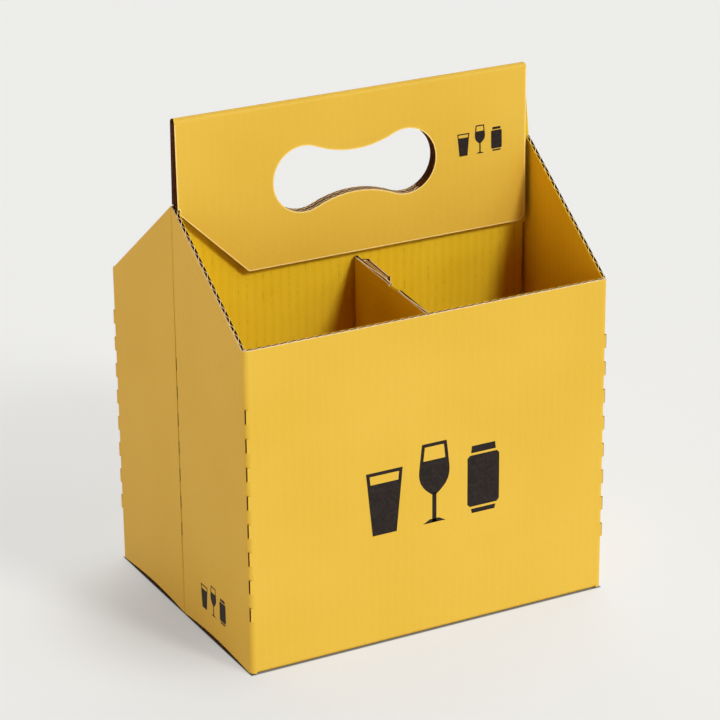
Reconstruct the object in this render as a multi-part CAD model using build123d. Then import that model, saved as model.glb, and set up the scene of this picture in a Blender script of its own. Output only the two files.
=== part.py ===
from build123d import *
import os

os.makedirs("parts", exist_ok=True)

# Overall sizes of the carrier, in millimetres
carrier_length = 186.0
carrier_depth = 142.0
handle_height = 243.0
front_wall_height = 157.1
rear_wall_height = 151.5
left_peak_drop = 40.5
right_peak_drop = 36.5

# Corrugated board and how it folds
board = 2.1
fold_radius = 0.5
glue_line = 0.15
fit_clearance = 0.3
overrun = 5.0

# Cut creases: short slits that weaken a fold line
slit_length = 6.6
slit_pitch = 13.7
slit_width = 0.7
slit_reach = 4.2
slit_drop = 22.0
corner_slit_count = 8
crease_slit_count = 7
crease_depth = 0.5
corner_turn_degrees = 45.0

# Wrap: seam tab and bottom flaps
seam_tab_width = 26.0
seam_tab_margin = 6.0
foot_gap = 0.7
corner_notch = 0.4
right_corner_clip = 2.2
flap_corner_clip = 3.2
bottom_setback = 1.5

# Handle sheet: centre panel, turned-over front ply and hand hole
ear_inset = 1.0
handle_left_inset = 1.4
handle_right_inset = 4.2
handle_corner_radius = 0.9
ply_splay_degrees = 1.4
ply_gap = 0.2
ply_drop = 76.3
ply_seat_drop = 1.2
ply_cut_drop = 44.2
ply_cut_run = 33.0
ply_right_clearance = 3.2
ply_corner_radius = 4.5
hole_drop = 37.3
hole_shift = -2.0
hole_width = 83.8
hole_lobe_radius = 15.5
hole_neck_height = 19.8
side_tab_width = 22.0
side_tab_bottom = 14.0
side_tab_drop = 38.5

# Cross dividers
divider_drop = 3.2
divider_wall_drop = 0.8
divider_skew = 1.3
divider_heel = 4.6
divider_return = 27.5
return_drop = 2.7
return_gap = 0.25
divider_corner_clip = 3.0
divider_tab_width = 20.0
divider_tab_margin = 7.0
nick_start = 34.0
nick_length = 8.2
nick_depth = 1.2

# Levels and half sizes that the pieces share
half_length = carrier_length / 2
half_depth = carrier_depth / 2
wall_x = half_length - board / 2
wall_y = half_depth - board / 2
bend = fold_radius + board / 2
fold_reach = fold_radius + board
base_half = half_length - fold_reach - corner_notch
flap_half = half_length - board - fit_clearance
lower_top = board
upper_bottom = lower_top + glue_line
upper_top = upper_bottom + board
panel_front = -board / 2
panel_rear = board / 2
tallest = handle_height + overrun
left_peak_height = handle_height - left_peak_drop
right_peak_height = handle_height - right_peak_drop
slit_top = rear_wall_height - slit_drop
ply_bottom = handle_height - ply_drop
ply_cut_top = handle_height - ply_cut_drop
hole_centre_height = handle_height - hole_drop
side_tab_top = left_peak_height - side_tab_drop
divider_top = ply_bottom - divider_drop


def strip(path):
    """Plane section of a board whose middle line follows the path."""
    return trace(path, line_width=board)


def raise_strip(path, bottom, top):
    """Board standing on edge: a plan path carried up between two levels."""
    section = Pos(0, 0, bottom) * strip(path)
    return Part() + [extrude(face, top - bottom) for face in section.faces()]


def run_strip(path, length):
    """Board folded over a line along X: a YZ path carried along the length."""
    section = Plane.YZ * strip(path)
    return Part() + [extrude(face, length / 2, both=True) for face in section.faces()]


def front_outline(corners, y_low, y_high):
    """Prism along Y over an XZ outline of corners, each with its own rounding."""
    face = make_face(Polyline(*[(x, z) for x, z, _ in corners], close=True))
    for x, z, radius in corners:
        if radius:
            face = fillet(face.vertices().sort_by_distance((x, z, 0))[0], radius)
    sheet = Pos(0, y_high, 0) * (Plane.XZ * face)
    return extrude(sheet, y_high - y_low)


def slit_levels(count):
    """Heights of the middles of a row of slits."""
    return [slit_top - slit_length / 2 - index * slit_pitch for index in range(count)]


def slits(x, y, turn, count):
    """Row of slits down a fold line, each cut through the board along one direction."""
    slit = Rot(0, 0, turn) * Box(slit_reach, slit_width, slit_length)
    return [Pos(x, y, level) * slit for level in slit_levels(count)]


def gable(peak, x_low, x_high):
    """Everything under the roof line of one end, over part of the length."""
    roof = Polyline(
        (-half_depth - overrun, 0),
        (-half_depth - overrun, front_wall_height),
        (-half_depth + board, front_wall_height),
        (0, peak),
        (half_depth - board, rear_wall_height),
        (half_depth + overrun, rear_wall_height),
        (half_depth + overrun, 0),
        close=True,
    )
    return Pos(x_low, 0, 0) * extrude(Plane.YZ * make_face(roof), x_high - x_low)


# Wrap: one sheet round four walls, with a seam tab and two bottom flaps
def make_wrap():
    front_base = fold_reach
    rear_base = upper_bottom + fold_reach
    tab_x = wall_x - board - glue_line
    walls = raise_strip(
        FilletPolyline(
            (wall_x, half_depth),
            (wall_x, -wall_y),
            (-wall_x, -wall_y),
            (-wall_x, wall_y),
            (tab_x - bend, wall_y),
            radius=bend,
        ),
        foot_gap,
        tallest,
    )
    walls &= gable(left_peak_height, -half_length - overrun, 0) + gable(
        right_peak_height, 0, half_length + overrun
    )
    seam_tab = raise_strip(
        FilletPolyline(
            (tab_x - 2 * bend, wall_y),
            (tab_x, wall_y),
            (tab_x, wall_y - seam_tab_width),
            radius=bend,
        ),
        rear_base + seam_tab_margin,
        rear_wall_height - seam_tab_margin,
    )

    # The front and rear walls fold into the bottom between the ends, which reach the floor
    for side, base in ((-1, front_base), (1, rear_base)):
        walls -= Pos(0, side * half_depth, 0) * Box(
            2 * base_half, 2 * fold_reach, base, align=(Align.CENTER, Align.CENTER, Align.MIN)
        )
    clip_side = right_corner_clip * 2 ** 0.5
    corner_clip = Rot(0, corner_turn_degrees, 0) * Box(clip_side, 2 * fold_reach, clip_side)
    walls -= Pos(half_length, -half_depth, 0) * corner_clip

    lower_front = fold_reach - half_depth
    lower_rear = half_depth - bottom_setback
    lower_fold = run_strip(
        FilletPolyline(
            (-wall_y, front_base + fold_reach),
            (-wall_y, board / 2),
            (lower_front + flap_corner_clip, board / 2),
            radius=bend,
        ),
        2 * base_half,
    )
    rear_half = base_half - fit_clearance
    lower_flap = make_face(
        Polyline(
            (-base_half, lower_front),
            (base_half, lower_front),
            (flap_half, lower_front + flap_corner_clip),
            (flap_half, lower_rear - flap_corner_clip),
            (rear_half, lower_rear),
            (-rear_half, lower_rear),
            (-flap_half, lower_rear - flap_corner_clip),
            (-flap_half, lower_front + flap_corner_clip),
            close=True,
        )
    )
    upper_front = panel_rear + fit_clearance
    upper_fold = run_strip(
        FilletPolyline(
            (wall_y, rear_base + fold_reach),
            (wall_y, upper_bottom + board / 2),
            (upper_front, upper_bottom + board / 2),
            radius=bend,
        ),
        2 * base_half,
    )
    upper_flap = Box(
        2 * flap_half,
        half_depth - upper_front - fold_reach - flap_corner_clip,
        board,
        align=(Align.CENTER, Align.MIN, Align.MIN),
    )
    wrap = walls + seam_tab + lower_fold + extrude(lower_flap, board)
    wrap += upper_fold + Pos(0, upper_front, upper_bottom) * upper_flap

    # Cut creases: scored down the middle of each end, with square lips at the folded corners
    creases = []
    lips = []
    crease_side = crease_depth * 2 ** 0.5
    score = Box(crease_side, crease_side, tallest, align=(Align.CENTER, Align.CENTER, Align.MIN))
    for side in (-1, 1):
        creases.append(Pos(side * half_length, 0, 0) * Rot(0, 0, corner_turn_degrees) * score)
        creases += slits(side * wall_x, 0, 0, crease_slit_count)
    slit_inset = (fold_reach - fold_radius * 0.5 ** 0.5) / 2
    for x, x_side, y_side in ((wall_x, 1, -1), (wall_x, -1, -1), (wall_x, -1, 1), (tab_x, 1, 1)):
        corner_x = x_side * (x + board / 2)
        corner_y = y_side * half_depth
        for level in slit_levels(corner_slit_count):
            lip = Box(board, board, slit_length)
            lips.append(Pos(corner_x - x_side * board / 2, corner_y - y_side * board / 2, level) * lip)
        place = (corner_x - x_side * slit_inset, corner_y - y_side * slit_inset)
        creases += slits(*place, corner_turn_degrees * x_side * y_side, corner_slit_count)
    return wrap + lips - creases


# Hand hole: two round lobes joined by a waisted neck
def hand_hole():
    lobe_x = hole_width / 2 - hole_lobe_radius
    neck = hole_neck_height / 2
    waist = (lobe_x ** 2 + neck ** 2 - hole_lobe_radius ** 2) / (2 * (hole_lobe_radius - neck))
    touch_share = waist / (waist + hole_lobe_radius)
    touch_height = (neck + waist) * (1 - touch_share)
    outline = Rectangle(2 * lobe_x * touch_share, 2 * touch_height)
    for side in (-lobe_x, lobe_x):
        outline += Pos(side, 0) * Circle(hole_lobe_radius)
    for side in (-neck - waist, neck + waist):
        outline -= Pos(0, side) * Circle(waist)
    return extrude(Pos(hole_shift, half_depth, hole_centre_height) * (Plane.XZ * outline), carrier_depth)


# Handle sheet: centre panel up to the handle, then turned over to the front
def make_handle():
    foot = lower_top + glue_line
    web_half = half_length - board - glue_line
    turn_radius = (board + ply_gap) / 2
    turn_height = handle_height - turn_radius - board / 2
    top_fold = CenterArc((-turn_radius, turn_height), turn_radius, 0, 180 - ply_splay_degrees)
    ply_start = top_fold @ 1
    ply_run = top_fold % 1
    ply_length = (ply_start.Y - ply_bottom + overrun) / -ply_run.Y
    sheet = run_strip(
        Line((0, foot), (0, turn_height)) + top_fold + Line(ply_start, ply_start + ply_run * ply_length),
        carrier_length,
    )

    left = -half_length + handle_left_inset
    right = half_length - handle_right_inset
    ply_left = -half_length + board + fit_clearance
    ply_right = half_length - board - ply_right_clearance
    ply_seat = left_peak_height - ply_seat_drop
    ear = half_length - ear_inset
    top = handle_height + glue_line
    left_seat = left_peak_height + glue_line
    right_seat = right_peak_height + glue_line
    parting = panel_front - ply_gap / 2
    tab_web = web_half - fold_reach
    rear_corners = (
        (-web_half, foot, 0),
        (web_half, foot, 0),
        (web_half, side_tab_bottom, 0),
        (tab_web, side_tab_bottom, 0),
        (tab_web, side_tab_top, 0),
        (web_half, side_tab_top, 0),
        (web_half, right_seat, 0),
        (ear, right_seat, 0),
        (right, top, handle_corner_radius),
        (left, top, handle_corner_radius),
        (-ear, left_seat, 0),
        (-web_half, left_seat, 0),
        (-web_half, side_tab_top, 0),
        (-tab_web, side_tab_top, 0),
        (-tab_web, side_tab_bottom, 0),
        (-web_half, side_tab_bottom, 0),
    )
    front_corners = (
        (left, top, handle_corner_radius),
        (left, ply_seat, 0),
        (ply_left, ply_seat, 0),
        (ply_left, ply_cut_top, 0),
        (ply_left + ply_cut_run, ply_bottom, 0),
        (ply_right, ply_bottom, ply_corner_radius),
        (right, top, handle_corner_radius),
    )
    rear = sheet & front_outline(rear_corners, parting, half_depth)
    front = sheet & front_outline(front_corners, -half_depth, parting)
    handle = rear + front
    for side in (-1, 1):
        handle += raise_strip(
            FilletPolyline(
                (side * (tab_web - fold_reach), 0),
                (side * (web_half - board / 2), 0),
                (side * (web_half - board / 2), side_tab_width),
                radius=bend,
            ),
            side_tab_bottom,
            side_tab_top,
        )
    return handle - hand_hole()


def divider_face(floor, wall_top, panel_top):
    """Side outline of a divider, from its wall to the centre panel, carried across the carrier."""
    corner = -half_depth + board + glue_line
    outline = Polyline(
        (corner, floor + divider_corner_clip),
        (corner, wall_top),
        (0, panel_top),
        (0, floor),
        (corner + divider_corner_clip, floor),
        close=True,
    )
    return extrude(Plane.YZ * make_face(outline), half_length, both=True)


# Cross divider: glued to a wall by a tab, with a heel against the centre panel and a doubled-back end
def make_divider(wall_height, floor):
    tab_y = -wall_y + board + glue_line
    heel_y = panel_front - glue_line - board / 2
    return_y = panel_front - divider_return
    lean = divider_skew / (heel_y - tab_y)
    path = FilletPolyline(
        (-divider_tab_width, tab_y),
        (0, tab_y),
        (-divider_skew, heel_y),
        (divider_heel, heel_y),
        (board + return_gap - lean * (return_y - tab_y), return_y),
        radius=bend,
    )
    divider = raise_strip(path, floor, tallest)

    # The doubled-back end is cut lower than the web beside it
    parting = (board + return_gap) / 2
    return_plan = make_face(
        Polyline(
            (parting, tab_y),
            (parting + lean * tab_y, 0),
            (half_length, 0),
            (half_length, tab_y),
            close=True,
        )
    )
    return_zone = extrude(return_plan, tallest)
    return_top = divider_top - return_drop
    web = divider & divider_face(floor, wall_height - divider_wall_drop, divider_top)
    doubled = divider & divider_face(floor, return_top, return_top)
    divider = (web - return_zone) + (doubled & return_zone)
    tab_low = floor + divider_tab_margin
    tab_high = wall_height - divider_tab_margin
    for level, height in ((0, tab_low), (tab_high, tallest - tab_high)):
        trim = Box(divider_tab_width, board * 2, height, align=(Align.MAX, Align.CENTER, Align.MIN))
        divider -= Pos(-board / 2 - fold_radius, tab_y, level) * trim
    return divider


def nick():
    """Crushed spot in the top edge of the front divider."""
    share = nick_start / half_depth
    edge = divider_top + (front_wall_height - divider_wall_drop - divider_top) * share
    cut = Polyline(
        (-nick_start, edge + overrun),
        (-nick_start, edge - nick_depth),
        (-nick_start - nick_length, edge - nick_depth),
        (-nick_start - nick_length, edge + overrun),
        close=True,
    )
    return extrude(Plane.YZ * make_face(cut), board, both=True)


export_step(make_wrap(), "parts/carrier_wrap.step")
export_step(make_handle(), "parts/handle_sheet.step")
export_step(make_divider(front_wall_height, lower_top + glue_line) - nick(), "parts/front_divider.step")
rear_divider = Rot(0, 0, 180) * make_divider(rear_wall_height, upper_top + glue_line)
export_step(rear_divider, "parts/rear_divider.step")
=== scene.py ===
import bpy
from math import pi, radians, sin
from mathutils import Matrix, Vector


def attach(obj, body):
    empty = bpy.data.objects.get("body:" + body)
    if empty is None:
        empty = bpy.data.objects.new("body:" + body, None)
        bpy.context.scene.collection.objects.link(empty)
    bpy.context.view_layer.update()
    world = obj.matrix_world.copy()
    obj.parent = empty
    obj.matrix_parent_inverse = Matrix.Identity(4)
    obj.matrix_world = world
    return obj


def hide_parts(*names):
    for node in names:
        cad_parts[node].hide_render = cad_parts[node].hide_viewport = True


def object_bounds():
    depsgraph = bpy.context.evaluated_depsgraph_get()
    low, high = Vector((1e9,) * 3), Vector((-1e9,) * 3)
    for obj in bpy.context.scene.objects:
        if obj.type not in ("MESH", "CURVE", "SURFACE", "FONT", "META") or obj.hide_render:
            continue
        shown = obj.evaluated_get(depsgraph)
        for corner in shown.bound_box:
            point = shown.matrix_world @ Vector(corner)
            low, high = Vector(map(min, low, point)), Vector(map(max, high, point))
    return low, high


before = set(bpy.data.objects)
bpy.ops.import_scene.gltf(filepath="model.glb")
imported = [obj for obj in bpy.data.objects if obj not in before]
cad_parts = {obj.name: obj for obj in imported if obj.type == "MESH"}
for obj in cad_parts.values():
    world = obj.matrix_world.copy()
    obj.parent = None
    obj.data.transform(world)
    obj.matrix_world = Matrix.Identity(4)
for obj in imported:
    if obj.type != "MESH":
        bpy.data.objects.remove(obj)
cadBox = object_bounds()
mm = 0.001
board = {  # fine-flute corrugated board, in mm
    "thickness": 2.1,
    "liner": 0.36,
    "medium": 0.30,
    "flutePitch": 4.3,
    "fluteSteps": 10,
    "fluteOverlap": 0.02,
    "fluteSmoothDegrees": 50,
    "mergeBelow": 0.002,
}
print("frame loaded:", sorted(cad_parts))


def pickOnly(piece):
    if bpy.context.object and bpy.context.object.mode != "OBJECT":
        bpy.ops.object.mode_set(mode="OBJECT")
    bpy.ops.object.select_all(action="DESELECT")
    piece.select_set(True)
    bpy.context.view_layer.objects.active = piece


def clearPick(piece, kind):  # leaves the piece in object mode with nothing on it selected
    pickOnly(piece)
    bpy.ops.object.mode_set(mode="EDIT")
    bpy.ops.mesh.select_mode(type=kind)
    bpy.ops.mesh.select_all(action="DESELECT")
    bpy.ops.object.mode_set(mode="OBJECT")


def pickFaces(piece, wanted):  # leaves the piece in edit mode with the wanted faces selected
    clearPick(piece, "FACE")
    for face in piece.data.polygons:
        face.select = wanted(face)
    bpy.ops.object.mode_set(mode="EDIT")


def pickPoints(piece, wanted):  # leaves the piece in edit mode with the wanted vertices selected
    clearPick(piece, "VERT")
    for point in piece.data.vertices:
        point.select = wanted(point.co)
    bpy.ops.object.mode_set(mode="EDIT")


def pickEdges(piece, wanted):  # leaves the piece in edit mode with the wanted edges selected
    clearPick(piece, "EDGE")
    points = piece.data.vertices
    for edge in piece.data.edges:
        edge.select = wanted(edge, (points[edge.vertices[0]].co + points[edge.vertices[1]].co) / 2)
    bpy.ops.object.mode_set(mode="EDIT")


def useModifier(piece, kind, **settings):
    pickOnly(piece)
    modifier = piece.modifiers.new(kind.title(), kind)
    for key, value in settings.items():
        setattr(modifier, key, value)
    bpy.ops.object.modifier_apply(modifier=modifier.name)


def joinPieces(pieces, name):
    pickOnly(pieces[0])
    for piece in pieces:
        piece.select_set(True)
    bpy.ops.object.join()
    pieces[0].name = name
    pieces[0].data.name = name
    return pieces[0]


def setMaterials(piece, materials):
    piece.data.materials.clear()
    for material in materials:
        piece.data.materials.append(material)


def copyNode(nodeName, name):  # own copy of a CAD sheet, with its loose triangles merged
    piece = bpy.data.objects.new(name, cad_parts[nodeName].data.copy())
    bpy.context.scene.collection.objects.link(piece)
    pickOnly(piece)
    bpy.ops.mesh.customdata_custom_splitnormals_clear()
    bpy.ops.object.mode_set(mode="EDIT")
    bpy.ops.mesh.select_all(action="SELECT")
    bpy.ops.mesh.remove_doubles(threshold=board["mergeBelow"] * mm)
    bpy.ops.object.mode_set(mode="OBJECT")
    return piece


def hexColour(code):
    parts = [int(code[i:i + 2], 16) / 255 for i in (1, 3, 5)]
    linear = [c / 12.92 if c <= 0.04045 else ((c + 0.055) / 1.055) ** 2.4 for c in parts]
    return (*linear, 1.0)


def addNode(tree, kind, links=None, **settings):
    node = tree.nodes.new(kind)
    for key, value in settings.items():
        setattr(node, key, value)
    for socket, value in (links or {}).items():
        target = node.inputs[socket]
        if isinstance(value, bpy.types.NodeSocket):
            tree.links.new(value, target)
        else:
            target.default_value = value
    return node


def newMaterial(name, roughness, specular):
    material = bpy.data.materials.new(name)
    material.use_nodes = True
    tree = material.node_tree
    shader = tree.nodes["Principled BSDF"]
    shader.inputs["Roughness"].default_value = roughness
    shader.inputs["Specular IOR Level"].default_value = specular
    return material, tree, shader


printedPaper = {  # dyed liner paper, outer side: even matt yellow, the flutes just showing through
    "light": "#E7BC42", "deep": "#E4B83B", "line": "#D8A92C", "cloudMm": 60, "fibreMm": 0.9,
    "lineShare": 0.04, "dotShare": 0.0, "rise": 0.012, "roughness": 0.55, "specular": 0.22,
}
insidePaper = {  # the same paper unvarnished, inner side: deeper yellow without a sheen
    "light": "#EABA20", "deep": "#E6B51A", "line": "#D8A60E", "cloudMm": 50, "fibreMm": 0.8,
    "lineShare": 0.10, "dotShare": 0.0, "rise": 0.03, "roughness": 0.70, "specular": 0.12,
}
rakedPanelPaper = {  # the inner side on the handle sheet: flutes press through, their broken dark and pale streaks painted as raking light, kept to the lit centre panel
    "light": "#EFC728", "deep": "#EAC01F", "line": "#9C7510", "cloudMm": 30, "fibreMm": 0.8,
    "lineShare": 0.10, "dotShare": 0.65, "rise": 0.06, "roughness": 0.70, "specular": 0.12,
}
fluteLines = {
    "widthShare": 0.08, "paleShare": 0.6, "wobbleMm": 2.4, "wobbleSizeMm": 18, "endFacing": 0.7,
    "dotMm": 2.8, "dotSqueeze": (2.2, 2.2, 1.0), "dotFrom": 0.54, "dotFull": 0.72,
}
paperGrain = {
    "stops": (0.35, 0.65), "fleckFrom": 0.3, "fleckFull": 0.7, "fleckDark": 0.975, "fleckPale": 1.015,
    "fibreSwell": 0.25, "bareSpecular": 0.2, "bareBump": 0.3, "bareRise": 0.05,
}


def twoTone(tree, amount, dark, light):  # blends two colours over the middle of a noise
    tone = addNode(tree, "ShaderNodeValToRGB", {"Fac": amount})
    for stop, share, code in zip(tone.color_ramp.elements, paperGrain["stops"], (dark, light)):
        stop.position = share
        stop.color = hexColour(code)
    return tone.outputs["Color"]


def makeLiner(name, look, linesAcross):
    material, tree, shader = newMaterial(name, look["roughness"], look["specular"])
    spot = addNode(tree, "ShaderNodeTexCoord")
    place = spot.outputs["Object"]
    cloud = addNode(tree, "ShaderNodeTexNoise", {
        "Vector": place, "Scale": 1 / (look["cloudMm"] * mm), "Detail": 2.0})
    tone = twoTone(tree, cloud.outputs["Fac"], look["deep"], look["light"])
    xyz = addNode(tree, "ShaderNodeSeparateXYZ", {"Vector": place})
    across = xyz.outputs["Z"]
    if linesAcross == "walls":  # counted along x on the front, the rear and the bottom, along y on the ends
        facing = addNode(tree, "ShaderNodeSeparateXYZ", {"Vector": spot.outputs["Normal"]})
        turned = addNode(tree, "ShaderNodeMath", {0: facing.outputs["X"]}, operation="ABSOLUTE")
        onEnd = addNode(tree, "ShaderNodeMath", {
            0: turned.outputs[0], 1: fluteLines["endFacing"]}, operation="GREATER_THAN")
        across = addNode(tree, "ShaderNodeMix", {0: onEnd.outputs[0], 2: xyz.outputs["X"], 3: xyz.outputs["Y"]},
                         data_type="FLOAT").outputs[0]
    wobble = addNode(tree, "ShaderNodeTexNoise", {
        "Vector": place, "Scale": 1 / (fluteLines["wobbleSizeMm"] * mm), "Detail": 1.0})
    moved = addNode(tree, "ShaderNodeMath", {
        0: wobble.outputs["Fac"], 1: fluteLines["wobbleMm"] * mm, 2: across}, operation="MULTIPLY_ADD")
    count = addNode(tree, "ShaderNodeMath", {
        0: moved.outputs[0], 1: 1 / (board["flutePitch"] * mm)}, operation="MULTIPLY")
    share = addNode(tree, "ShaderNodeMath", {0: count.outputs[0]}, operation="FRACT")
    ridge = addNode(tree, "ShaderNodeMath", {0: share.outputs[0], 1: 0.5}, operation="PINGPONG")
    # flute streaks: a dark line and a pale line each pitch, standing in for raking light on the pressed-through
    # flutes; strong only on the handle sheet's panel
    line = addNode(tree, "ShaderNodeMapRange", {
        "Value": ridge.outputs[0], "From Min": 0.0, "From Max": fluteLines["widthShare"],
        "To Min": 1.0, "To Max": 0.0})
    pale = addNode(tree, "ShaderNodeMapRange", {
        "Value": ridge.outputs[0], "From Min": 0.5 - fluteLines["widthShare"], "From Max": 0.5})
    dotPlace = addNode(tree, "ShaderNodeMapping", {"Vector": place, "Scale": fluteLines["dotSqueeze"]})
    dots = addNode(tree, "ShaderNodeTexNoise", {
        "Vector": dotPlace.outputs["Vector"], "Scale": 1 / (fluteLines["dotMm"] * mm), "Detail": 3.0})
    dash = addNode(tree, "ShaderNodeMapRange", {
        "Value": dots.outputs["Fac"], "From Min": fluteLines["dotFrom"], "From Max": fluteLines["dotFull"],
        "To Min": 0.0, "To Max": look["dotShare"]})
    dark = addNode(tree, "ShaderNodeMath", {0: dash.outputs["Result"], 1: look["lineShare"]}, operation="ADD")
    marked = addNode(tree, "ShaderNodeMath", {0: line.outputs["Result"], 1: dark.outputs[0]}, operation="MULTIPLY")
    inked = addNode(tree, "ShaderNodeMix", {
        0: marked.outputs[0], 6: tone, 7: hexColour(look["line"])}, data_type="RGBA")
    lift = addNode(tree, "ShaderNodeMath", {
        0: pale.outputs["Result"], 1: look["lineShare"] * fluteLines["paleShare"], 2: 1.0},
        operation="MULTIPLY_ADD")
    fibre = addNode(tree, "ShaderNodeTexNoise", {
        "Vector": place, "Scale": 1 / (look["fibreMm"] * mm), "Detail": 4.0})
    fleck = addNode(tree, "ShaderNodeMapRange", {
        "Value": fibre.outputs["Fac"], "From Min": paperGrain["fleckFrom"], "From Max": paperGrain["fleckFull"],
        "To Min": paperGrain["fleckDark"], "To Max": paperGrain["fleckPale"]})
    strength = addNode(tree, "ShaderNodeMath", {
        0: lift.outputs[0], 1: fleck.outputs["Result"]}, operation="MULTIPLY")
    paint = addNode(tree, "ShaderNodeVectorMath", {
        0: inked.outputs[2], "Scale": strength.outputs[0]}, operation="SCALE")
    tree.links.new(paint.outputs["Vector"], shader.inputs["Base Color"])
    swell = addNode(tree, "ShaderNodeMath", {
        0: fibre.outputs["Fac"], 1: paperGrain["fibreSwell"], 2: ridge.outputs[0]}, operation="MULTIPLY_ADD")
    bump = addNode(tree, "ShaderNodeBump", {
        "Height": swell.outputs[0], "Strength": 1.0, "Distance": look["rise"] * mm})
    tree.links.new(bump.outputs["Normal"], shader.inputs["Normal"])
    return material


def makeFibrous(name, light, dark, grainMm, roughness):  # bare paper stock: fibres in two tones, dull
    material, tree, shader = newMaterial(name, roughness, paperGrain["bareSpecular"])
    place = addNode(tree, "ShaderNodeTexCoord").outputs["Object"]
    grain = addNode(tree, "ShaderNodeTexNoise", {"Vector": place, "Scale": 1 / (grainMm * mm), "Detail": 5.0})
    tree.links.new(twoTone(tree, grain.outputs["Fac"], dark, light), shader.inputs["Base Color"])
    bump = addNode(tree, "ShaderNodeBump", {
        "Height": grain.outputs["Fac"], "Strength": paperGrain["bareBump"],
        "Distance": paperGrain["bareRise"] * mm})
    tree.links.new(bump.outputs["Normal"], shader.inputs["Normal"])
    return material


printedLiner = makeLiner("printed_liner_paper", printedPaper, "walls")
insideLiner = makeLiner("inside_liner_paper", insidePaper, "walls")
rakedPanelLiner = makeLiner("panel_liner_painted_raking_light", rakedPanelPaper, "walls")
dividerLiner = makeLiner("divider_liner_paper", insidePaper, "heights")
shadedKraftBack = makeFibrous("kraft_liner_back_painted_shade", "#703C10", "#542A08", 1.2, 0.9)  # painted shade: kraft darkened to a deep brown, between the liners and on cut board lying in shadow
shadedFlutedMedium = makeFibrous("fluting_medium_painted_shade", "#663610", "#4C2606", 0.8, 0.9)  # painted shade: kraft fluting darkened to a dull brown, as the flutes lie in shadow
lessShadedMedium = makeFibrous("divider_medium_less_painted_shade", "#C49660", "#A87C48", 0.8, 0.9)  # lighter, in the dividers: the same kraft with less painted shade than the wrap's flutes
rawEdge = makeFibrous("raw_paper_edge", "#FADFAE", "#E8C588", 0.7, 0.85)  # pale cut fibres
paleEdgeAndHighlight = makeFibrous("ply_cut_edge_and_painted_highlight", "#FFE08C", "#FAD478", 0.8, 0.8)  # the ply's pale cut edge with a painted highlight: a warm bright line laid on its face
crushedFold = makeFibrous("crushed_fold_kraft", "#D2A468", "#BC8C50", 1.0, 0.9)  # tan, in a pressed fold
charcoalInk = makeFibrous("flexo_ink_charcoal", "#2B211C", "#1D1512", 1.5, 0.6)  # flat print, slightly uneven
print("materials made:", len(bpy.data.materials))


# the two paper skins of each sheet, open at the raw edges
outerFace, shadedBackFace, rimFace, innerFace, edgeAndHighlightFace = range(5)  # the skins' material places; the back place holds kraft darkened as painted shade, the last the ply's pale cut edge with a painted highlight
linerCut = {
    "reach": 1.3, "startBelow": 0.01, "smoothDegrees": 32, "wornMm": 0.30, "edgeHighlightMm": 0.55, "edgeHighlightTop": 237,
    # cuts bounding the painted shade between the handle's plies
    "shadePlanes": [{"at": (0, 0, 200), "facing": (0, 0, 1)}, {"at": (0, 0, 173), "facing": (0, 0, 1)},
                   {"at": (-56, 0, 0), "facing": (1, 0, 0)}, {"at": (86, 0, 0), "facing": (1, 0, 0)}],
}


def liftFoot(piece, arch):  # bows the outer skin's lower edge up, so that the flutes, painted dark as shade, show under it
    stations = [arch["half"] * (step / arch["steps"] - 1) for step in range(1, 2 * arch["steps"])]
    for station in stations:
        pickFaces(piece, lambda face: face.center.x < arch["side"] * mm)
        bpy.ops.mesh.bisect(plane_co=(0, station * mm, 0), plane_no=(0, 1, 0))
    for station in stations:
        lift = arch["lift"] * abs(sin(pi * station / arch["half"]))
        if lift > arch["near"]:
            pickPoints(piece, lambda at: at.x < arch["side"] * mm and at.z < arch["foot"] * mm
                       and abs(at.y - station * mm) < arch["near"] * mm)
            bpy.ops.transform.translate(value=(0, 0, lift * mm))
    pickOnly(piece)


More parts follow.
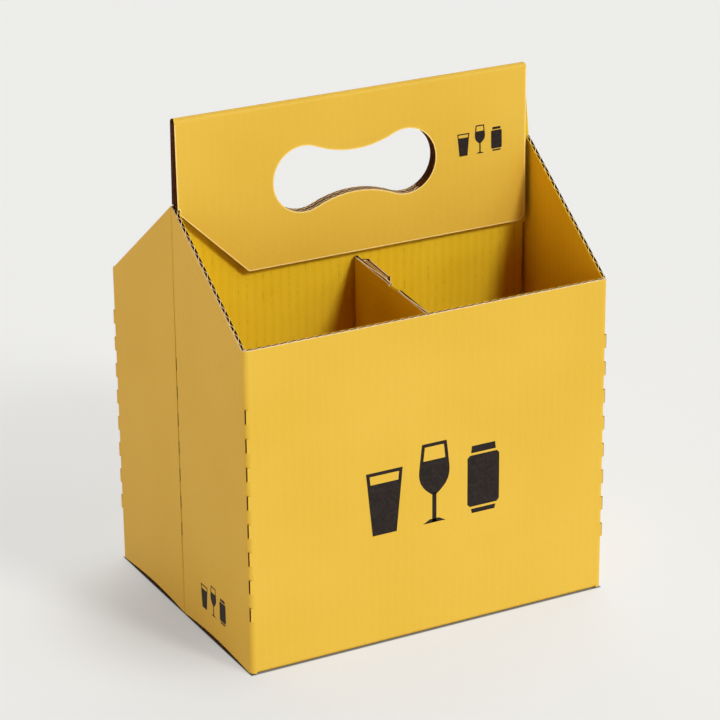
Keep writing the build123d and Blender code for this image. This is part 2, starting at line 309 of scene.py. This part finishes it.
def peelLiners(nodeName, name, look):
    piece = copyNode(nodeName, name)
    bpy.context.view_layer.update()
    reach = linerCut["reach"] * board["thickness"] * mm
    raw = set()
    for face in piece.data.polygons:
        start = face.center - face.normal * linerCut["startBelow"] * mm
        thin = piece.ray_cast(start, -face.normal, distance=reach)[0]
        if look["isCut"](face.center / mm, face.normal, thin):
            raw.add(face.index)
    pickFaces(piece, lambda face: face.index in raw)
    bpy.ops.mesh.delete(type="FACE")
    setMaterials(piece, [look["outer"], shadedKraftBack, rawEdge, look["inner"], paleEdgeAndHighlight])
    if nodeName == "handle_sheet":
        for plane in linerCut["shadePlanes"]:
            pickFaces(piece, lambda face: look["isInside"](face.center / mm, face.normal))
            bpy.ops.mesh.bisect(plane_co=[c * mm for c in plane["at"]], plane_no=plane["facing"])
        pickFaces(piece, lambda face: look["isPly"](face.center / mm, face.normal))
        bpy.ops.mesh.inset(thickness=linerCut["edgeHighlightMm"] * mm, depth=0, use_boundary=True)
    pickOnly(piece)
    edgeAndHighlight = piece.data.attributes.new("edgeAndHighlight", "BOOLEAN", "FACE")  # pale line along the ply's cut edges: the cut edge's colour, brightened as a painted highlight
    for face in piece.data.polygons:
        edgeAndHighlight.data[face.index].value = look["isPly"](face.center / mm, face.normal) and not face.select
    useModifier(piece, "SOLIDIFY", thickness=board["liner"] * mm, offset=-1, use_even_offset=False,
                material_offset=shadedBackFace, material_offset_rim=rimFace)
    edgeAndHighlight = piece.data.attributes["edgeAndHighlight"]
    for face in piece.data.polygons:
        at = face.center / mm
        if face.material_index == outerFace and edgeAndHighlight.data[face.index].value and at.z < linerCut["edgeHighlightTop"]:
            face.material_index = edgeAndHighlightFace
        elif face.material_index == outerFace and look["isInside"](at, face.normal):
            # painted shade between the plies: the dark kraft back instead of the inner paper
            face.material_index = shadedBackFace if look["isPaintedShade"](at) else innerFace
        elif face.material_index == rimFace:
            face.material_index = look["rimIndex"](at, face.normal)
    piece.data.attributes.remove(edgeAndHighlight)
    if "arch" in look:
        liftFoot(piece, look["arch"])
    touching = {}
    for face in piece.data.polygons:
        for pair in face.edge_keys:
            touching.setdefault(pair, set()).add(face.material_index)
    rims = {pair for pair, kinds in touching.items()
            if len(kinds) == 2 and rimFace in kinds and shadedBackFace not in kinds}
    pickEdges(piece, lambda edge, at: edge.key in rims and look["isWorn"](at / mm))
    bpy.ops.mesh.bevel(  # pale worn edges
        offset=linerCut["wornMm"] * mm, segments=1, material=rimFace, clamp_overlap=False)
    pickOnly(piece)
    bpy.ops.object.shade_smooth_by_angle(angle=radians(linerCut["smoothDegrees"]))
    useModifier(piece, "WEIGHTED_NORMAL", keep_sharp=True)
    print(name, "skins:", len(piece.data.polygons), "faces,", len(raw), "raw edge faces opened")
    return piece


# fluted medium between the liners, one strip a panel, cut to the sheet's outline
def fluteStrip(across, along, centre, turn, paper=board["medium"]):
    pitch, steps = board["flutePitch"] * mm, board["fluteSteps"]
    columns = round(across * mm / pitch) * steps
    bpy.ops.object.select_all(action="DESELECT")
    bpy.ops.mesh.primitive_grid_add(x_subdivisions=columns, y_subdivisions=1, size=1)
    strip = bpy.context.object
    strip.scale = (across * mm, along * mm, 1)
    bpy.ops.object.transform_apply(location=False, rotation=False, scale=True)
    crest = (board["thickness"] / 2 - board["liner"] - paper / 2 + board["fluteOverlap"]) * mm
    for step in range(steps):
        if step % (steps // 2):  # the other columns stay level
            pickPoints(strip, lambda co: round((co.x / (across * mm) + 0.5) * columns) % steps == step)
            bpy.ops.transform.translate(value=(0, 0, crest * sin(2 * pi * step / steps)))
            bpy.ops.object.mode_set(mode="OBJECT")
    useModifier(strip, "SOLIDIFY", thickness=paper * mm, offset=0)
    strip.location = [c * mm for c in centre]
    strip.rotation_euler = [radians(t) for t in turn]
    pickOnly(strip)
    bpy.ops.object.transform_apply(location=True, rotation=True, scale=True)
    return strip


def foldPost(size, centre, turn):  # flutes crushed solid inside a fold
    bpy.ops.object.select_all(action="DESELECT")
    bpy.ops.mesh.primitive_cube_add(size=1)
    post = bpy.context.object
    post.scale = [c * mm for c in size]
    post.rotation_euler = (0, 0, radians(turn))
    post.location = [c * mm for c in centre]
    bpy.ops.object.transform_apply(location=True, rotation=True, scale=True)
    return post


def cutFlutes(nodeName, name, look):
    parts = [fluteStrip(**strip) for strip in look["strips"]] + [foldPost(**post) for post in look["posts"]]
    medium = joinPieces(parts, name)
    coreFace, cutFace = range(2)
    setMaterials(medium, [look["core"], rawEdge])
    outline = copyNode(nodeName, nodeName + "_outline")
    setMaterials(outline, [look["core"], rawEdge])
    for face in outline.data.polygons:
        face.material_index = cutFace  # what the outline cuts shows pale fibres
    useModifier(medium, "BOOLEAN", operation="INTERSECT", object=outline, solver="EXACT", material_mode="INDEX")
    bpy.data.objects.remove(outline)
    # where the skin's cut face is painted shade, the flutes' cut faces take the shaded core as well
    for face in medium.data.polygons:
        if face.material_index == cutFace and look["rimIndex"](face.center / mm, face.normal) == shadedBackFace:
            face.material_index = coreFace
    pickOnly(medium)
    bpy.ops.object.shade_smooth_by_angle(angle=radians(board["fluteSmoothDegrees"]))
    print(name, "medium:", len(medium.data.polygons), "faces")
    return medium


standing, endwise, upright = (90, 0, 0), (90, 0, 90), (0, -90, 0)


def never(*facts):
    return False


wrapZones = {
    "endFace": 92.99, "wallFace": 70.99, "square": 0.99, "seamFrom": 90.8, "slitFrom": 60, "slitSlant": 0.3,
    "level": 0.5, "endFrom": 85, "wallTop": 150, "footTop": 3, "insideX": 91.9, "insideY": 69.9,
    "creaseHalf": 5, "creaseTop": 200, "wornFrom": 150.5, "peakHalf": 1.8,
}


def wrapCut(at, facing, thin):  # slit sides and raw edges; the square lips at the slits keep their skin
    zones = wrapZones
    onEnd = abs(at.x) > zones["endFace"] and abs(facing.x) > zones["square"]
    onSeam = at.y > 0 and at.x > zones["seamFrom"]
    onWall = abs(at.y) > zones["wallFace"] and abs(facing.y) > zones["square"] and not onSeam
    if onEnd or onWall:
        return False
    slanted = abs(facing.x * facing.y) > zones["slitSlant"] and at.x * at.y * facing.x * facing.y < 0
    return not thin or (slanted and abs(at.y) > zones["slitFrom"])


def wrapInside(at, facing):
    if abs(facing.z) > wrapZones["level"]:
        return facing.z > 0
    return at.x * facing.x + at.y * facing.y < 0


def wrapRim(at, facing):  # a cut face: painted shade (the dark kraft back) in the slits and at the foot by the corners, printed in the pressed crease, pale elsewhere
    zones = wrapZones
    atEnd, atSeam = abs(at.x) > zones["endFrom"], at.x > 0 and at.y > 0  # the open seam stays pale
    if atEnd and at.z < zones["wallTop"] and abs(at.y) > zones["slitFrom"] and not atSeam:
        return outerFace if abs(facing.z) > zones["level"] and at.z > zones["footTop"] else shadedBackFace
    if at.z > zones["wallTop"] and abs(at.x) < zones["insideX"] and abs(at.y) < zones["insideY"]:
        return innerFace
    return outerFace if atEnd and abs(at.y) < zones["creaseHalf"] and at.z < zones["creaseTop"] else rimFace


def wrapWorn(at):
    return at.z > wrapZones["wornFrom"] and abs(at.y) > wrapZones["peakHalf"]


wrapSheet = {
    "slot": "wrap_board", "outer": printedLiner, "inner": insideLiner, "core": shadedFlutedMedium,
    "isCut": wrapCut, "isInside": wrapInside, "isWorn": wrapWorn, "isPaintedShade": never, "isPly": never,
    "rimIndex": wrapRim,
    "arch": {"side": -92.5, "foot": 1.5, "half": 66.0, "steps": 6, "lift": 1.8, "near": 0.05},
    "strips": [
        {"across": 180.6, "along": 157.0, "centre": (0, -69.95, 80.6), "turn": standing, "paper": 0.42},
        {"across": 178.5, "along": 148.0, "centre": (-1.1, 69.95, 78.5), "turn": standing},
        {"across": 136.8, "along": 204.0, "centre": (-91.95, 0, 102.0), "turn": endwise},
        {"across": 139.4, "along": 208.0, "centre": (91.95, 1.3, 104.0), "turn": endwise},
        {"across": 24.4, "along": 137.0, "centre": (89.7, 56.2, 78.2), "turn": endwise},
        {"across": 181.8, "along": 140.0, "centre": (0, 0.55, 1.05), "turn": (0, 0, 0)},
        {"across": 181.8, "along": 67.6, "centre": (0, 34.7, 3.3), "turn": (0, 0, 0)},
    ],
    "posts": [
        {"size": (1.15, 1.6, 156.0), "centre": (-91.44, -69.44, 82.0), "turn": 45},
        {"size": (1.15, 1.6, 156.0), "centre": (91.44, -69.44, 82.0), "turn": -45},
        {"size": (1.15, 1.6, 150.0), "centre": (-91.44, 69.44, 80.0), "turn": -45},
    ],
}
handleZones = {
    "holeFrom": 165, "upright": 0.2, "plyFrom": -1.2, "turned": 0.5, "shadeRight": 86, "shadeLeft": -56,
    "shadeLow": 173, "shadeHigh": 200, "square": 0.99, "foldFacing": 0.05, "plyFace": -2.5, "plyLow": 160,
    "rimFrom": 168, "endFrom": 85, "holeRight": 30, "holeLow": 192, "holeHigh": 222,
}


def handleCut(at, facing, thin):
    return not thin or (at.z > handleZones["holeFrom"] and abs(facing.x) > handleZones["upright"])


def handleInside(at, facing):
    turned = handleZones["turned"]
    return facing.y < -turned if at.y > handleZones["plyFrom"] else facing.y > turned


def handleShadeBetweenPlies(at):  # painted shade: the faces between the plies get the dark kraft back in place of the inner paper
    low = handleZones["shadeHigh"] if at.x < handleZones["shadeLeft"] else handleZones["shadeLow"]
    return at.y < handleZones["plyFrom"] or (at.x < handleZones["shadeRight"] and at.z > low)


def handlePly(at, facing):
    onFront = facing.y < -handleZones["square"] and facing.z < handleZones["foldFacing"]
    return onFront and at.y < handleZones["plyFace"] and at.z > handleZones["plyLow"]


def handleRim(at, facing):  # a cut face: painted shade (the dark kraft back) at the two ends and in the right lobe of the hand hole, where these edges lie in shadow
    inLobe = at.x > handleZones["holeRight"] and handleZones["holeLow"] < at.z < handleZones["holeHigh"]
    dark = at.z > handleZones["rimFrom"] and (abs(at.x) > handleZones["endFrom"] or inLobe)
    return shadedBackFace if dark else rimFace


handleSheet = {
    "slot": "handle_board", "outer": printedLiner, "inner": rakedPanelLiner, "core": shadedFlutedMedium,
    "isCut": handleCut, "isInside": handleInside, "isWorn": never, "isPaintedShade": handleShadeBetweenPlies, "isPly": handlePly,
    "rimIndex": handleRim,
    "strips": [
        {"across": 186.4, "along": 240.0, "centre": (0, 0, 121.2), "turn": standing},
        {"across": 184.0, "along": 77.0, "centre": (-0.9, -3.21, 203.5), "turn": (88.6, 0, 0)},
        {"across": 19.4, "along": 152.0, "centre": (-89.7, 12.3, 89.0), "turn": endwise},
        {"across": 19.4, "along": 152.0, "centre": (89.7, 12.3, 89.0), "turn": endwise},
    ],
    "posts": [],
}
dividerZones = {"nickFrom": 33.9, "nickTo": 42.3, "level": 0.5, "wornFrom": 140}


def dividerCut(at, facing, thin):  # the crushed nick keeps its skin
    inNick = dividerZones["nickFrom"] < abs(at.y) < dividerZones["nickTo"]
    return not thin and not (facing.z > dividerZones["level"] and inNick)


dividerSkin = {
    "slot": "divider_board", "outer": dividerLiner, "inner": dividerLiner, "core": lessShadedMedium,
    "isCut": dividerCut, "isInside": never, "isWorn": lambda at: at.z > dividerZones["wornFrom"],
    "isPaintedShade": never, "isPly": never, "rimIndex": lambda at, facing: rimFace, "posts": [],
}
frontDivider = {**dividerSkin, "strips": [
    {"across": 163.4, "along": 62.0, "centre": (-0.65, -35.2, 84.2), "turn": (0, -90, 1.14), "paper": 0.45},
    {"across": 163.4, "along": 23.0, "centre": (3.03, -15.9, 84.2), "turn": (0, -90, -6.57), "paper": 0.45},
    {"across": 163.4, "along": 17.4, "centre": (-11.3, -67.7, 84.2), "turn": (0, -90, -90)},
]}
rearDivider = {**dividerSkin, "strips": [
    {"across": 161.2, "along": 62.0, "centre": (0.65, 35.2, 85.2), "turn": (0, -90, -178.86), "paper": 0.45},
    {"across": 161.2, "along": 23.0, "centre": (-3.03, 15.9, 85.2), "turn": (0, -90, 173.43), "paper": 0.45},
    {"across": 161.2, "along": 17.4, "centre": (11.3, 67.7, 85.2), "turn": (0, -90, 90)},
]}
sheets = {
    "carrier_wrap": wrapSheet,
    "handle_sheet": handleSheet,
    "front_divider": frontDivider,
    "rear_divider": rearDivider,
}
for nodeName, look in sheets.items():
    skins = peelLiners(nodeName, nodeName + "_liners", look)
    medium = cutFlutes(nodeName, nodeName + "_flutes", look)
    for piece in (skins, medium):
        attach(piece, "root")
    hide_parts(nodeName)
print("sheets built")

# wad of crushed board in the wedge between each divider's web and its doubled-back end
wedge = {
    "heelWidth": 3.45, "endWidth": 0.22, "endShift": -1.15, "length": 24.4, "low": 12.0, "top": 160.55,
    "middle": (1.55, -15.9), "soft": 0.1, "level": 0.9,
}


def packWedge(name, turn):
    bpy.ops.object.select_all(action="DESELECT")
    bpy.ops.mesh.primitive_cube_add(size=1)
    wad = bpy.context.object
    wad.scale = (wedge["heelWidth"] * mm, wedge["length"] * mm, (wedge["top"] - wedge["low"]) * mm)
    wad.location = (wedge["middle"][0] * mm, wedge["middle"][1] * mm, (wedge["top"] + wedge["low"]) / 2 * mm)
    bpy.ops.object.transform_apply(location=True, rotation=False, scale=True)
    pickPoints(wad, lambda co: co.y < wedge["middle"][1] * mm)
    bpy.ops.transform.resize(value=(wedge["endWidth"] / wedge["heelWidth"], 1, 1))
    bpy.ops.transform.translate(value=(wedge["endShift"] * mm, 0, 0))
    pickFaces(wad, lambda face: face.normal.z > wedge["level"])
    bpy.ops.mesh.bevel(offset=wedge["soft"] * mm, segments=2)
    bpy.ops.object.mode_set(mode="OBJECT")
    wad.rotation_euler = (0, 0, radians(turn))
    pickOnly(wad)
    bpy.ops.object.transform_apply(location=False, rotation=True, scale=False)
    wad.name = name
    wad.data.name = name
    setMaterials(wad, [crushedFold])
    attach(wad, "root")


packWedge("front_divider_fold", 0)
packWedge("rear_divider_fold", 180)
print("divider folds packed")


# printed symbols of a tumbler, a stemmed glass and a can, drawn once in mm on a flat plate
symbols = {
    "line": 0.58, "film": 0.03, "spread": 8.9, "near": 0.01,
    "tumbler": {"width": 6.5, "height": 10.8, "foot": 0.66, "level": 8.2},
    "bowl": {"width": 5.5, "bottom": 4.9, "height": 8.8, "level": 10.2, "rows": 12,
             "profile": (0.18, 0.50, 0.74, 0.89, 0.97, 1.0, 0.99, 0.96, 0.93, 0.90, 0.87, 0.84, 0.80)},
    "stem": {"width": 0.75, "overlap": 0.2, "foot": 4.1, "footHeight": 0.65, "footTaper": 0.4},
    "can": {"width": 5.8, "height": 11.6, "rim": 4.5, "rimHeight": 1.2, "rimTaper": 0.94,
            "base": 0.75, "baseTaper": 0.92, "gap": 0.4, "corner": 0.45},
}


def flatPlate(width, height, u, v, rows=1):
    bpy.ops.object.select_all(action="DESELECT")
    bpy.ops.mesh.primitive_grid_add(x_subdivisions=1, y_subdivisions=rows, size=1)
    plate = bpy.context.object
    plate.scale = (width * mm, height * mm, 1)
    plate.location = (u * mm, v * mm, 0)
    bpy.ops.object.transform_apply(location=True, rotation=False, scale=True)
    return plate


def narrow(plate, level, factor):
    pickPoints(plate, lambda co: abs(co.y / mm - level) < symbols["near"])
    bpy.ops.transform.resize(value=(factor, 1, 1))
    bpy.ops.object.mode_set(mode="OBJECT")


def hollowAbove(plate, level):  # leaves the drink full and only a line round the empty part
    pickFaces(plate, lambda face: True)
    bpy.ops.mesh.bisect(plane_co=(0, level * mm, 0), plane_no=(0, 1, 0))
    pickFaces(plate, lambda face: face.center.y > level * mm)
    bpy.ops.mesh.inset(thickness=symbols["line"] * mm, depth=0)
    bpy.ops.mesh.delete(type="FACE")
    bpy.ops.object.mode_set(mode="OBJECT")


def drawTumbler(u):
    look = symbols["tumbler"]
    plate = flatPlate(look["width"], look["height"], u, look["height"] / 2)
    narrow(plate, 0, look["foot"])
    hollowAbove(plate, look["level"])
    return [plate]


def drawGlass(u):
    look, stem = symbols["bowl"], symbols["stem"]
    bowl = flatPlate(look["width"], look["height"], u, look["bottom"] + look["height"] / 2, look["rows"])
    for row, factor in enumerate(look["profile"]):
        narrow(bowl, look["bottom"] + look["height"] * row / look["rows"], factor)
    hollowAbove(bowl, look["level"])
    tall = look["bottom"] + stem["overlap"]
    post = flatPlate(stem["width"], tall, u, tall / 2)
    foot = flatPlate(stem["foot"], stem["footHeight"], u, stem["footHeight"] / 2)
    narrow(foot, stem["footHeight"], stem["footTaper"])
    return [bowl, post, foot]


def drawCan(u):
    look = symbols["can"]
    low, high = look["base"] + look["gap"], look["height"] - look["rimHeight"] - look["gap"]
    body = flatPlate(look["width"], high - low, u, (low + high) / 2)
    pickPoints(body, lambda co: True)
    bpy.ops.mesh.bevel(offset=look["corner"] * mm, affect="VERTICES")
    bpy.ops.object.mode_set(mode="OBJECT")
    rim = flatPlate(look["rim"], look["rimHeight"], u, look["height"] - look["rimHeight"] / 2)
    narrow(rim, look["height"], look["rimTaper"])
    base = flatPlate(look["rim"], look["base"], u, look["base"] / 2)
    narrow(base, 0, look["baseTaper"])
    return [body, rim, base]


def drawTrio(name):
    spread = symbols["spread"]
    trio = joinPieces(drawTumbler(-spread) + drawGlass(0) + drawCan(spread), name)
    pickFaces(trio, lambda face: True)
    bpy.ops.mesh.normals_make_consistent(inside=False)
    bpy.ops.object.mode_set(mode="OBJECT")
    setMaterials(trio, [charcoalInk])
    return trio


def placePrint(master, name, spot):
    piece = bpy.data.objects.new(name, master.data.copy())
    bpy.context.scene.collection.objects.link(piece)
    piece.scale = (spot["size"], spot["size"], 1)
    pickOnly(piece)
    bpy.ops.object.transform_apply(location=False, rotation=False, scale=True)
    useModifier(piece, "SOLIDIFY", thickness=symbols["film"] * mm, offset=1)
    piece.location = [c * mm for c in spot["at"]]
    piece.rotation_euler = [radians(t) for t in spot["turn"]]
    pickOnly(piece)
    bpy.ops.object.transform_apply(location=True, rotation=True, scale=True)
    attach(piece, "root")
    print(name, "printed:", len(piece.data.polygons), "faces")


prints = {
    "front_symbols": {"at": (1.5, -71, 55), "turn": standing, "size": 2.9, "slot": "wrap_board"},
    "end_symbols": {"at": (-93, -32.5, 13.0), "turn": (90, 0, -90), "size": 1.09, "slot": "wrap_board"},
    "handle_symbols": {"at": (63.6, -4.27, 203.2), "turn": (88.6, 0, 0), "size": 1.0, "slot": "handle_board"},
}
trioMaster = drawTrio("symbol_trio")
for printName, spot in prints.items():
    placePrint(trioMaster, printName, spot)
bpy.data.objects.remove(trioMaster)

# studio: pale floor, soft light, camera at the photograph's angle
studio = {
    "floorSize": 8.0, "floorColour": "#949492", "floorRoughness": 0.9, "floorSpecular": 0.1,
    "floorGlow": 0.59, "glowColour": "#FFFFFD", "contactShadowMm": 0.3,
    "shadeAt": (-92, 0, 0), "shadeSpread": (85, 105, 1), "shadeShare": 0.66,
    "skyColour": "#FFFFFF", "skyStrength": 0.66, "skyFrom": 0.05, "skyTo": 0.25,
}
bpy.ops.object.select_all(action="DESELECT")
bpy.ops.mesh.primitive_plane_add(size=studio["floorSize"], location=(0, 0, 0))
floor = bpy.context.object
floor.name = "studio_floor"
floorPaper, floorTree, floorShader = newMaterial(  # backlit pale sheet, dull
    "matt_paper_sweep", studio["floorRoughness"], studio["floorSpecular"])
floorShader.inputs["Base Color"].default_value = hexColour(studio["floorColour"])
floorShader.inputs["Emission Color"].default_value = hexColour(studio["glowColour"])
floorPlace = addNode(floorTree, "ShaderNodeTexCoord").outputs["Object"]
floorSide = addNode(floorTree, "ShaderNodeVectorMath", {0: floorPlace}, operation="ABSOLUTE")
beyond = addNode(floorTree, "ShaderNodeVectorMath", {
    0: floorSide.outputs[0], 1: cadBox[1]}, operation="SUBTRACT")
outside = addNode(floorTree, "ShaderNodeSeparateXYZ", {"Vector": beyond.outputs[0]})
farther = addNode(floorTree, "ShaderNodeMath", {
    0: outside.outputs["X"], 1: outside.outputs["Y"]}, operation="MAXIMUM")
contactShadow = addNode(floorTree, "ShaderNodeMapRange", {  # painted contact shadow: no glow under the carrier and along its foot, where it stands on the sheet
    "Value": farther.outputs[0], "From Min": -studio["contactShadowMm"] * mm, "From Max": studio["contactShadowMm"] * mm,
    "To Min": 0.0, "To Max": studio["floorGlow"]})
beside = addNode(floorTree, "ShaderNodeVectorMath", {
    0: floorPlace, 1: [-c * mm for c in studio["shadeAt"]]}, operation="ADD")
spread = addNode(floorTree, "ShaderNodeVectorMath", {
    0: beside.outputs[0], 1: [c * mm for c in studio["shadeSpread"]]}, operation="DIVIDE")
away = addNode(floorTree, "ShaderNodeVectorMath", {0: spread.outputs[0]}, operation="LENGTH")
leftShade = addNode(floorTree, "ShaderNodeMapRange", {  # painted shadow: the glow dimmed softly beside the left end
    "Value": away.outputs["Value"], "From Min": 0.0, "From Max": 1.0,
    "To Min": studio["shadeShare"], "To Max": 1.0}, interpolation_type="SMOOTHERSTEP")
glow = addNode(floorTree, "ShaderNodeMath", {0: leftShade.outputs["Result"], 1: contactShadow.outputs["Result"]},
               operation="MULTIPLY")
floorTree.links.new(glow.outputs[0], floorShader.inputs["Emission Strength"])
setMaterials(floor, [floorPaper])

world = bpy.data.worlds.new("studio_sky")
bpy.context.scene.world = world
world.use_nodes = True
sky = world.node_tree
skyPlace = addNode(sky, "ShaderNodeTexCoord").outputs["Generated"]
skyHeight = addNode(sky, "ShaderNodeSeparateXYZ", {"Vector": skyPlace}).outputs["Z"]
skyFall = addNode(sky, "ShaderNodeMapRange", {  # pale round the foot of the room's walls, dark overhead
    "Value": skyHeight, "From Min": studio["skyFrom"], "From Max": studio["skyTo"],
    "To Min": studio["skyStrength"], "To Max": 0.0})
sky.nodes["Background"].inputs["Color"].default_value = hexColour(studio["skyColour"])
sky.links.new(skyFall.outputs["Result"], sky.nodes["Background"].inputs["Strength"])

lamps = {  # azimuth from the front wall towards the right, elevation and softness in degrees
    "soft_key": {"azimuth": 20, "elevation": 35, "softness": 12, "strength": 1.66},
    "side_fill": {"azimuth": 42, "elevation": 36, "softness": 45, "strength": 0.92},
    "left_fill": {"azimuth": -90, "elevation": 2, "softness": 36, "strength": 1.2, "colour": "#FFDCBC"},
    "back_fill": {"azimuth": 140, "elevation": 42, "softness": 65, "strength": 1.45},
}
for lampName, lamp in lamps.items():
    bpy.ops.object.light_add(type="SUN", location=(0, 0, 1))
    light = bpy.context.object
    light.name = lampName
    light.data.energy = lamp["strength"]
    light.data.color = hexColour(lamp.get("colour", "#FFFFFF"))[:3]
    light.data.angle = radians(lamp["softness"])
    light.rotation_euler = (radians(90 - lamp["elevation"]), 0, radians(lamp["azimuth"]))

view = {"azimuth": -27.964, "elevation": 21.863, "roll": -0.532, "target": (1.50, 0, 110.03),
        "distance": 1390.0, "lens": 147.84, "sensor": 36, "clipEnd": 20}
turnTo = (Matrix.Rotation(radians(view["azimuth"]), 4, "Z")
          @ Matrix.Rotation(radians(90 - view["elevation"]), 4, "X")
          @ Matrix.Rotation(radians(view["roll"]), 4, "Z"))
target = Vector(view["target"]) * mm
bpy.ops.object.camera_add(location=(0, 0, 0))
camera = bpy.context.object
camera.matrix_world = Matrix.Translation(target + turnTo.to_3x3() @ Vector((0, 0, view["distance"] * mm))) @ turnTo
camera.data.lens = view["lens"]
camera.data.sensor_width = view["sensor"]
camera.data.clip_end = view["clipEnd"]
bpy.context.scene.camera = camera
bpy.context.scene.view_settings.view_transform = "Standard"
print("studio set")
